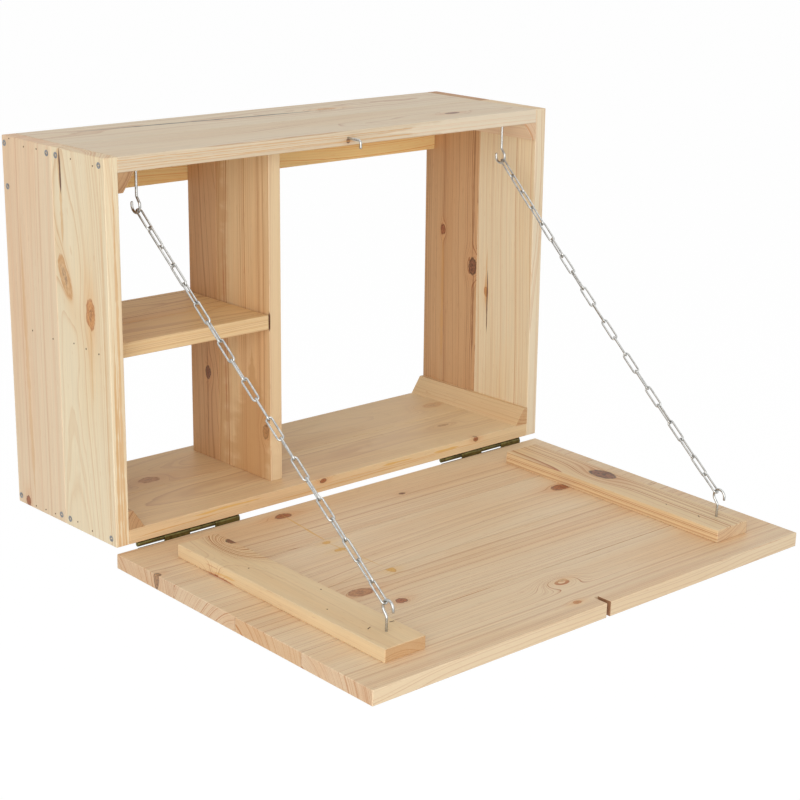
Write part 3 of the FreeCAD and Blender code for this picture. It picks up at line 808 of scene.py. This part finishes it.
def wire_piece(name, route, radius, material):
    """Round wire along a route, with a rounded far end."""
    curve = bpy.data.curves.new(name, "CURVE")
    curve.dimensions = "3D"
    curve.bevel_depth = radius
    curve.bevel_resolution = 4
    curve.use_fill_caps = True
    spline = curve.splines.new("POLY")
    last = route[-1]
    back = (route[-2] - last).normalized() * radius
    tip = [(last + back, 1.0), (last + back * 0.55, 0.92), (last + back * 0.2, 0.66), (last, 0.25)]
    stations = [(point, 1.0) for point in route[:-1]] + tip
    spline.points.add(len(stations) - 1)
    for point, (place, share) in zip(spline.points, stations):
        point.co = (*place, 1)
        point.radius = share
    shape = linked(name + "_route", curve)
    mesh = bpy.data.meshes.new_from_object(shape.evaluated_get(bpy.context.evaluated_depsgraph_get()))
    bpy.data.objects.remove(shape)
    mesh.name = name
    mesh.materials.clear()
    mesh.materials.append(material)
    for polygon in mesh.polygons:
        polygon.use_smooth = True
    return linked(name, mesh)


def finish_piece(piece, body, slot, *nodes):
    """Rides a piece on its body, in the place of its nodes."""
    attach(piece, body)
    if nodes:
        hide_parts(*nodes)


def make_hook(node, body, root, outwards, opening, loop_drop):
    """One screw hook, from inside the wood to its tip."""
    def place(across, out):
        return root + opening * (across * MM) + outwards * (out * MM)

    closed_side = hook_shank_offset - hook_loop_radius
    tip_side = hook_shank_offset + hook_loop_radius
    points = [
        place(0, -hook_sunk),
        place(0, loop_drop - hook_kink_rise),
        place(closed_side, loop_drop - hook_side_rise),
        place(closed_side, loop_drop + hook_loop_radius),
        place(tip_side, loop_drop + hook_loop_radius),
        place(tip_side, loop_drop - hook_tip_rise),
    ]
    bends = [bend * MM for bend in (hook_kink_bend, hook_kink_bend, hook_loop_radius, hook_loop_radius)]
    hook = wire_piece(node + "_wire", rounded_route(points, bends), hook_wire_radius * MM, zinc)
    finish_piece(hook, body, "zinc_steel", node)


def make_hooks():
    """The four screw hooks; returns the middles of their loops."""
    loops = {}
    down = Vector((0, 0, -1))
    inwards = Vector((0, 1, 0))
    up = droop_turn @ Vector((0, 0, 1))
    outwards = droop_turn @ Vector((0, -1, 0))
    panel_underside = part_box("top_front_board")[0].z
    for side in ("left", "right"):
        low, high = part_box("top_hook_" + side)
        shank_y = low.y + (hook_wire_radius + hook_loop_radius - hook_shank_offset) * MM
        root = Vector(((low.x + high.x) / 2, shank_y, panel_underside))
        make_hook("top_hook_" + side, "cabinet", root, down, inwards, top_hook_drop)
        loops["top", side] = root + inwards * (hook_shank_offset * MM) + down * (top_hook_drop * MM)

        low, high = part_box("flap_hook_" + side)
        loop = on_flap((low.x + high.x) / 2 / MM, flap_hook_reach, batten_thickness + flap_hook_rise)
        root = loop - up * (flap_hook_rise * MM) - outwards * (hook_shank_offset * MM)
        make_hook("flap_hook_" + side, "flap", root, up, outwards, flap_hook_rise)
        loops["flap", side] = loop
    return loops


def make_latch():
    """The turning hook over the notch."""
    low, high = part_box("latch_hook")
    x = (low.x + high.x) / 2
    radius = latch_wire_radius * MM
    axis_z = high.z - radius
    front = low.y + radius
    board_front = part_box("top_front_board")[0].y
    points = [
        Vector((x, board_front + hook_sunk * MM, axis_z)),
        Vector((x, front, axis_z)),
        Vector((x, front, low.z)),
    ]
    latch = wire_piece("latch_hook_wire", rounded_route(points, [latch_bend * MM]), radius, zinc)
    finish_piece(latch, "latch", "zinc_steel", "latch_hook")


def make_chains(loops):
    """Both chains, link by link, in the groups that fold together."""
    sideways = Vector((1, 0, 0))
    contact = (hook_loop_radius - hook_wire_radius - link_wire_radius - hook_contact_gap) * MM
    overlap = (2 * link_wire_radius + link_gap) * MM
    for side in ("left", "right"):
        upper = loops["top", side]
        run = loops["flap", side] - upper
        along = run.normalized()
        across = (sideways - along * sideways.dot(along)).normalized()
        below = across.cross(along)
        if below.z > 0:
            below = -below
        pitch = (run.length - 2 * contact - overlap) / chain_links
        sag = 4 * chain_sag[side] * MM
        number = 0
        for group, count in chain_groups:
            places = []
            turns = []
            for _ in range(count):
                reach = contact + (pitch + overlap) / 2 + pitch * number
                share = reach / run.length
                places.append(upper + along * reach + below * (sag * share * (1 - share)))
                tangent = (along + below * (sag * (1 - 2 * share) / run.length)).normalized()
                width = (across - tangent * across.dot(tangent)).normalized()
                flat = Matrix((tangent, width, tangent.cross(width))).transposed()
                roll = math.radians(90 * number + chain_twist[side] * number / (chain_links - 1))
                turns.append((Matrix.Rotation(roll, 3, tangent) @ flat).to_euler())
                number += 1
            name = "chain_%s_%s" % (side, group)
            links = repeated(link_tree, name + "_links", places, turns, zinc, {
                "Length": (pitch + overlap) / MM,
                "Width": link_width - 2 * link_wire_radius,
                "Wire Radius": link_wire_radius,
            })
            finish_piece(links, name, "zinc_steel", name)


def make_screws():
    """The heads of the side screws."""
    middles = [(y, z) for y in screw_columns for z in screw_rows] + [rail_screw]
    for side, sign in (("left", -1), ("right", 1)):
        low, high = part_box("side_screws_" + side)
        face_x = low.x if sign < 0 else high.x
        places = [Vector((face_x, y * MM, z * MM)) for y, z in middles]
        outwards = Matrix.Rotation(sign * math.pi / 2, 3, "Y")
        spins = [Matrix.Rotation(screw_turn_step * index, 3, "Z") for index in range(len(middles))]
        turns = [(outwards @ spin).to_euler() for spin in spins]
        heads = repeated(screw_tree, "side_screw_heads_" + side, places, turns, screw_zinc, {
            "Head Radius": screw_head_radius, "Shank Radius": screw_shank_radius, "Depth": screw_head_depth,
        })
        finish_piece(heads, "cabinet", "zinc_steel", "side_screws_" + side)


def add_block(shape, low, high):
    """Adds a box between two corners."""
    middle = (Vector(low) + Vector(high)) / 2
    size = Vector(high) - Vector(low)
    bmesh.ops.create_cube(shape, size=1.0, matrix=Matrix.Translation(middle) @ Matrix.Diagonal((*size, 1.0)))


def add_roll(shape, start, end, axis, radius):
    """Adds a knuckle: a cylinder along X with eased ends."""
    sides = 24
    ease = knuckle_ease * MM
    stations = [(start, radius - ease), (start + ease, radius), (end - ease, radius), (end, radius - ease)]
    turns = [2 * math.pi * step / sides for step in range(sides)]
    rows = []
    for x, reach in stations:
        ring = [(x, axis.y + reach * math.cos(turn), axis.z + reach * math.sin(turn)) for turn in turns]
        rows.append([shape.verts.new(place) for place in ring])
    for before, after in zip(rows, rows[1:]):
        for step in range(sides):
            following = (step + 1) % sides
            side = shape.faces.new((before[step], before[following], after[following], after[step]))
            side.smooth = True
    shape.faces.new(list(reversed(rows[0])))
    shape.faces.new(rows[-1])


def shape_object(name, shape, material):
    """Turns a built shape into an object, with its faces outwards."""
    bmesh.ops.recalc_face_normals(shape, faces=shape.faces)
    mesh = bpy.data.meshes.new(name)
    shape.to_mesh(mesh)
    shape.free()
    mesh.materials.append(material)
    return linked(name, mesh)


def make_hinges():
    """Rolled hinges: plates under the bottom panel and on the flap's rear edge, with knuckles in turn."""
    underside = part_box("bottom_front_board")[0].z
    plate = leaf_thickness * MM
    roll = knuckle_radius * MM
    gap = knuckle_gap * MM
    leaf_top = flap_top - flap_leaf_sunk * MM
    leaf_foot = flap_top - flap_leaf_height * MM
    roll_back = pin.y + roll + plate
    for side in ("left", "right"):
        low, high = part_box("hinge_%s_pin" % side)
        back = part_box("hinge_%s_cabinet_leaf" % side)[1].y
        pitch = (high.x - low.x) / knuckle_count
        cabinet_leaf = bmesh.new()
        flap_leaf = bmesh.new()
        add_block(cabinet_leaf, (low.x, pin.y + roll, underside - plate), (high.x, back, underside))
        add_block(flap_leaf, (low.x, flap_edge, leaf_foot), (high.x, flap_edge + plate, leaf_top))
        for index in range(knuckle_count):
            start = low.x + pitch * index + gap / 2
            end = start + pitch - gap
            if index % 2 == 0:
                add_roll(cabinet_leaf, start, end, pin, roll)
                add_block(cabinet_leaf, (start, pin.y, underside - plate), (end, roll_back, underside))
            else:
                add_roll(flap_leaf, start, end, pin, roll)
                add_block(flap_leaf, (start, flap_edge, flap_top - plate), (end, flap_edge + plate, pin.z))
        bmesh.ops.rotate(flap_leaf, cent=pin, matrix=droop_turn, verts=flap_leaf.verts)
        for kind, shape in (("cabinet", cabinet_leaf), ("flap", flap_leaf)):
            piece = shape_object("hinge_%s_%s_rolls" % (side, kind), shape, yellow_zinc)
            finish_piece(piece, kind, "yellow_zinc_steel", "hinge_%s_%s_leaf" % (side, kind))


def make_brads():
    """Brads along the joints of the left side, and brads and staples in the battens."""
    side_brads = [
        (-14.0, 37.9), (-40.7, 33.3), (-63.8, 34.0), (-124.1, 32.3), (-161.3, 30.7),
        (-42.0, -149.6), (-79.8, -150.5), (-117.4, -147.4), (-138.8, -148.4), (-160.9, -149.1),
        (-33.6, -336.4), (-52.1, -335.4), (-70.1, -334.8), (-111.5, -332.0), (-137.7, -334.2),
    ]
    side_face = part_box("left_side_front_board")[0].x
    places = [Vector((side_face, y * MM, z * MM)) for y, z in side_brads]
    turns = [(0, -math.pi / 2, 0) for _ in places]
    sizes = {"Radius": brad_radius, "Depth": side_brad_height}
    brads = repeated(brad_tree, "side_brads_left", places, turns, brad_steel, sizes)
    finish_piece(brads, "cabinet", "zinc_steel")

    batten_brads = [(-230.5, 132.0), (-209.0, 213.0), (-233.0, 251.0), (217.0, 264.0)]
    places = [on_flap(x, reach, batten_thickness) for x, reach in batten_brads]
    turns = [droop_turn.to_euler() for _ in places]
    sizes = {"Radius": brad_radius, "Depth": batten_brad_height}
    brads = repeated(brad_tree, "batten_brads", places, turns, brad_steel, sizes)
    finish_piece(brads, "flap", "zinc_steel")

    crowns = [(-230.0, 305.0, 0.4), (-205.0, 307.0, -0.2), (217.0, 308.0, 0.9)]
    places = [on_flap(x, reach, batten_thickness) for x, reach, _ in crowns]
    turns = [(droop_turn @ Matrix.Rotation(turn, 3, "Z")).to_euler() for _, _, turn in crowns]
    sizes = {"Width": staple_width, "Breadth": staple_breadth, "Height": staple_height}
    staples = repeated(staple_tree, "batten_staples", places, turns, brad_steel, sizes)
    finish_piece(staples, "flap", "zinc_steel")


# The object

def dress(node, material):
    """Gives a node of the frame its material."""
    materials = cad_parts[node].data.materials
    materials.clear()
    materials.append(material)


def dress_nodes():
    """Every board gets its own pine, every hinge its plating."""
    for seed, (node, *looks) in enumerate(boards, 1):
        dress(node, pine_material(node, float(seed), *looks))
    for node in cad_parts:
        if node.startswith("hinge"):
            dress(node, yellow_zinc)


# The stage

def seen_directly(tree):
    """1 for rays from the camera, from gloss and through glass, 0 for light on the object."""
    ray = add(tree, "ShaderNodeLightPath", {})
    straight = calc(tree, "MAXIMUM", ray["Is Camera Ray"], ray["Is Glossy Ray"])
    return calc(tree, "MAXIMUM", straight, ray["Is Transmission Ray"])


def make_stage():
    """A pale floor, white surroundings and soft light from the front left."""
    world = bpy.data.worlds.new("white_studio")
    bpy.context.scene.world = world
    world.use_nodes = True
    tree = world.node_tree
    strength = times(tree, seen_directly(tree), 1 - world_light, world_light)
    give(tree, tree.nodes["Background"], {"Color": white, "Strength": strength})

    corners = [(-1, -1), (1, -1), (1, 1), (-1, 1)]
    mesh = bpy.data.meshes.new("floor")
    mesh.from_pydata([(x * floor_half, y * floor_half, floor_level) for x, y in corners], [], [(0, 1, 2, 3)])
    floor = linked("floor", mesh)
    material, tree, _ = new_material("pale_floor")
    tree.nodes.clear()
    diffuse = add(tree, "ShaderNodeBsdfDiffuse", {"Color": floor_grey})[0]
    glow = add(tree, "ShaderNodeEmission", {"Color": white, "Strength": floor_glow})[0]
    share = times(tree, seen_directly(tree), floor_glow_share)
    surface = add(tree, "ShaderNodeMixShader", {0: share, 1: diffuse, 2: glow})[0]
    add(tree, "ShaderNodeOutputMaterial", {"Surface": surface})
    mesh.materials.append(material)

    for name, (place, size, power) in lamps.items():
        lamp = bpy.data.lights.new(name, "AREA")
        lamp.shape = "SQUARE"
        lamp.size = size
        lamp.energy = power
        thing = linked(name, lamp)
        thing.location = place
        thing.rotation_euler = (Vector(lamp_aim) - Vector(place)).to_track_quat("-Z", "Y").to_euler()


def make_camera():
    """A camera at the photograph's viewing angle."""
    lens = bpy.data.cameras.new("camera")
    lens.sensor_width = 36.0
    lens.lens = camera_focal_pixels / image_size * lens.sensor_width
    lens.shift_x = (image_size / 2 - camera_centre_pixels[0]) / image_size
    lens.shift_y = (camera_centre_pixels[1] - image_size / 2) / image_size
    lens.clip_end = camera_reach
    camera = linked("camera", lens)
    camera.location = camera_place
    camera.rotation_euler = [math.radians(angle) for angle in camera_turn]
    bpy.context.scene.camera = camera


bpy.context.scene.view_settings.view_transform = "Standard"
dress_nodes()
hook_loops = make_hooks()
make_latch()
make_chains(hook_loops)
make_screws()
make_hinges()
make_brads()
make_stage()
make_camera()
